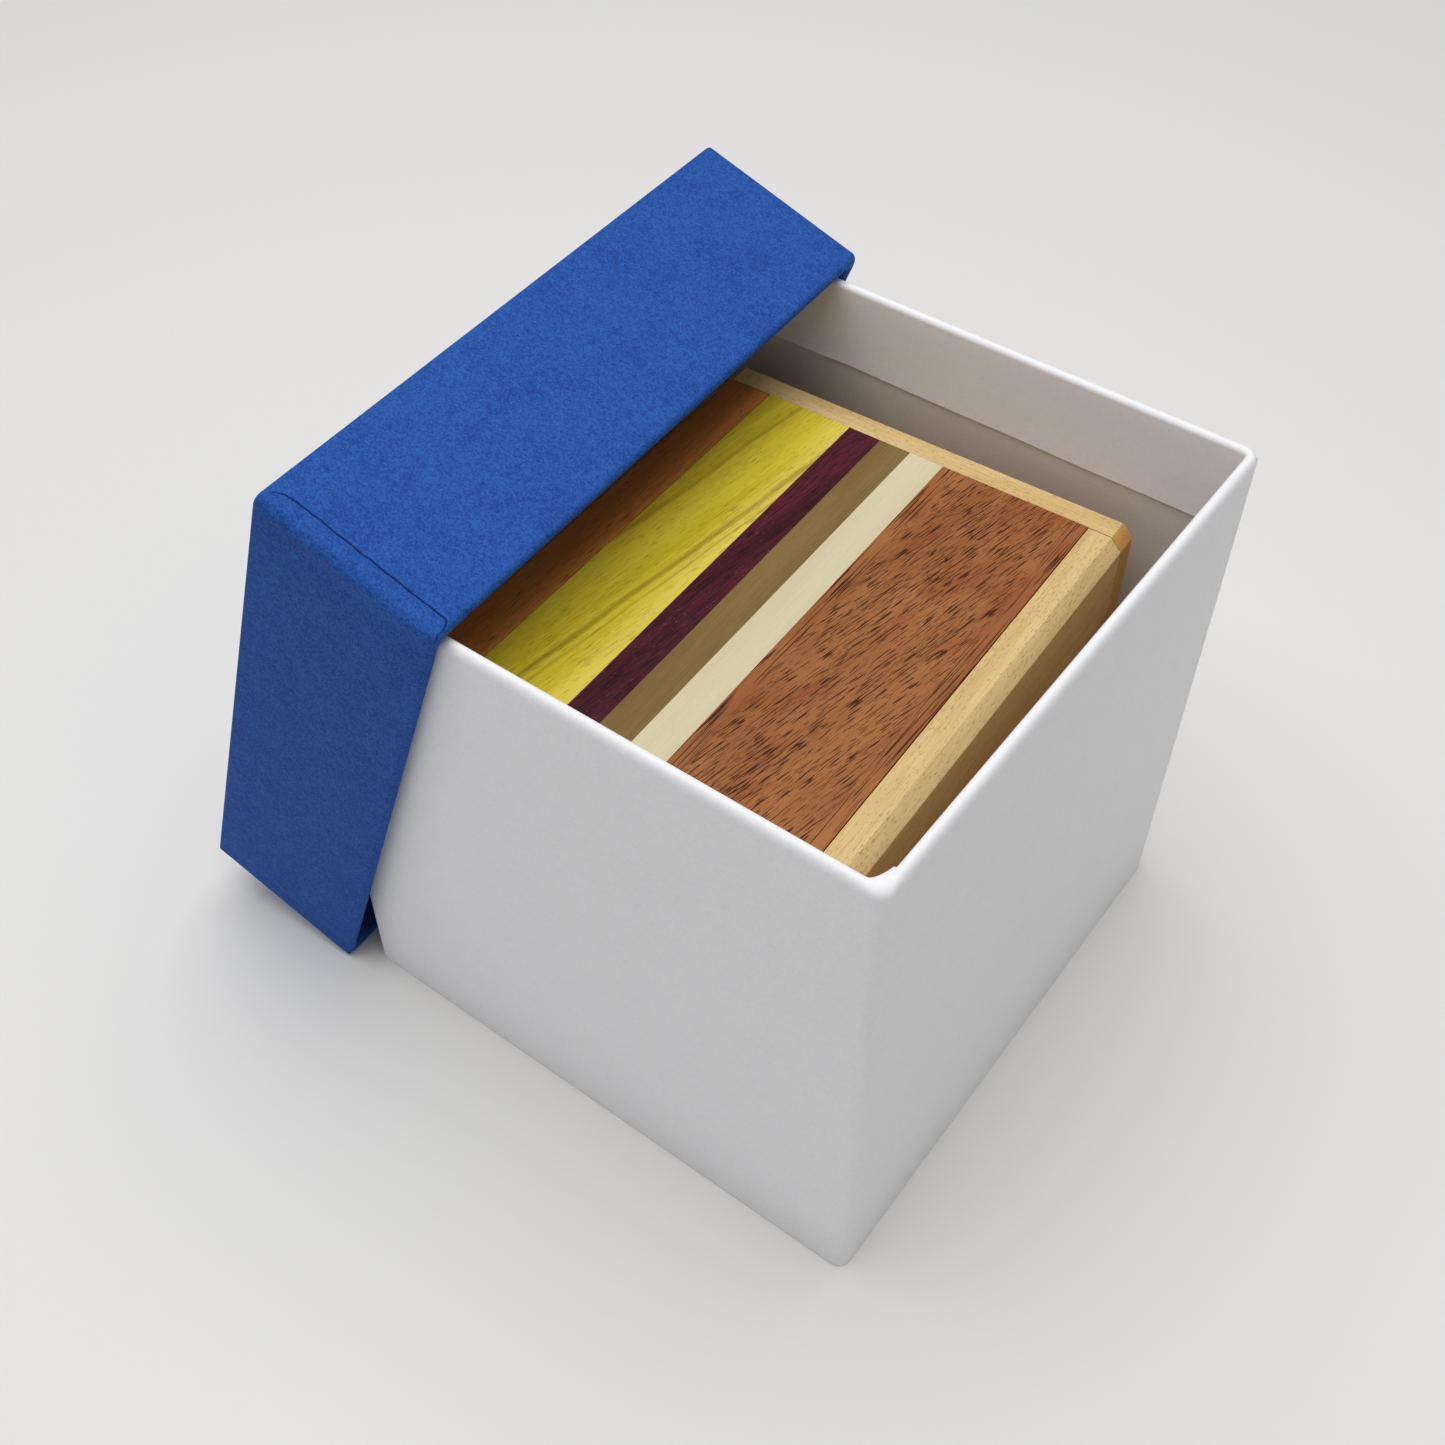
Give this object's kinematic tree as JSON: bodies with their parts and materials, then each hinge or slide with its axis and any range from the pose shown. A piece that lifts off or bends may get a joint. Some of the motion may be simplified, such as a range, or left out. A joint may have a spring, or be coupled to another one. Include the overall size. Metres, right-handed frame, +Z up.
{
  "type": "wooden puzzle box",
  "caption": "Maple puzzle box with an inlaid striped top and sliding side panels, standing in a white card tray with its blue card lid leaning over one side.",
  "frame": {"origin": "middle of the card tray's base, on the surface it stands on", "axes": "+X away from the leaning lid, +Y to the back of the tray, +Z up"},
  "size_m": [0.1304, 0.1035, 0.1044],
  "materials": {
    "white_paper": "smooth white covering paper",
    "lining_paper": "plain off-white lining paper",
    "grey_board": "dense grey board, hidden under the paper",
    "blue_paper": "matt blue fibrous covering paper",
    "dark_lining": "dark blue lining paper",
    "maple": "sanded maple, satin oil",
    "yellow_wood": "bright yellow streaked wood, satin oil",
    "purple_wood": "dark purple wood with fine pores",
    "olive_wood": "smooth olive-brown wood",
    "cream_wood": "smooth cream wood",
    "mahogany": "open-pored red-brown wood",
    "brown_wood": "sanded brown wood, satin oil",
    "core_wood": "plain inner board",
    "lock_wood": "dense hardwood of the lock parts",
    "pin_brass": "turned brass"
  },
  "bodies": {
    "tray": {"tray_front_board": "grey_board", "tray_back_board": "grey_board", "tray_left_board": "grey_board", "tray_right_board": "grey_board", "tray_corner_stays": "grey_board", "tray_base_board": "grey_board", "tray_base_paper": "white_paper", "tray_floor_paper": "lining_paper", "tray_lining": "lining_paper", "tray_wrap": "white_paper"},
    "lid": {"lid_front_board": "grey_board", "lid_back_board": "grey_board", "lid_lower_board": "grey_board", "lid_upper_board": "grey_board", "lid_top_board": "grey_board", "lid_corner_stays": "grey_board", "lid_lining": "dark_lining", "lid_wrap": "blue_paper"},
    "case": {"front_board": "maple", "back_board": "maple", "bottom_board": "maple", "mechanism_shelf": "core_wood", "top_core": "core_wood", "inner_wall": "maple", "yellow_strip": "yellow_wood", "purple_strip": "purple_wood", "olive_strip": "olive_wood", "cream_strip": "cream_wood", "mahogany_strip": "mahogany", "bar_bed": "core_wood", "bar_rails": "lock_wood", "bar_cover": "lock_wood", "front_pin_guide": "lock_wood", "back_pin_guide": "lock_wood"},
    "right_side": {"right_panel": "maple"},
    "left_side": {"left_panel": "brown_wood", "cam_plate": "lock_wood"},
    "lock_slider": {"lock_bar": "lock_wood", "cam_peg": "pin_brass"},
    "front_lock_pin": {"front_pin": "pin_brass"},
    "back_lock_pin": {"back_pin": "pin_brass"}
  },
  "joints": [
    {"name": "lid_slide", "type": "slide", "parent": "tray", "child": "lid", "axis": [-0.9396, -0.0492, 0.3387], "range_m": [0, 0.06]},
    {"name": "puzzle_lift", "type": "slide", "parent": "tray", "child": "case", "axis": [0, 0, 1], "range_m": [0, 0.01]},
    {"name": "right_panel_slide", "type": "slide", "parent": "case", "child": "right_side", "axis": [0, 0, 1], "range_m": [0, 0.038]},
    {"name": "left_panel_slide", "type": "slide", "parent": "case", "child": "left_side", "axis": [0, 0, 1], "range_m": [0, 0.005]},
    {"name": "lock_bar_slide", "type": "slide", "parent": "case", "child": "lock_slider", "axis": [0.9993, 0.0384, 0], "range_m": [0, 0.005]},
    {"name": "front_pin_slide", "type": "slide", "parent": "case", "child": "front_lock_pin", "axis": [0.9993, 0.0384, 0], "range_m": [0, 0.0043]},
    {"name": "back_pin_slide", "type": "slide", "parent": "case", "child": "back_lock_pin", "axis": [0.9993, 0.0384, 0], "range_m": [0, 0.0043]}
  ],
  "couplings": [
    {"joint": "lock_bar_slide", "follows": "left_panel_slide", "ratio": 1}
  ]
}
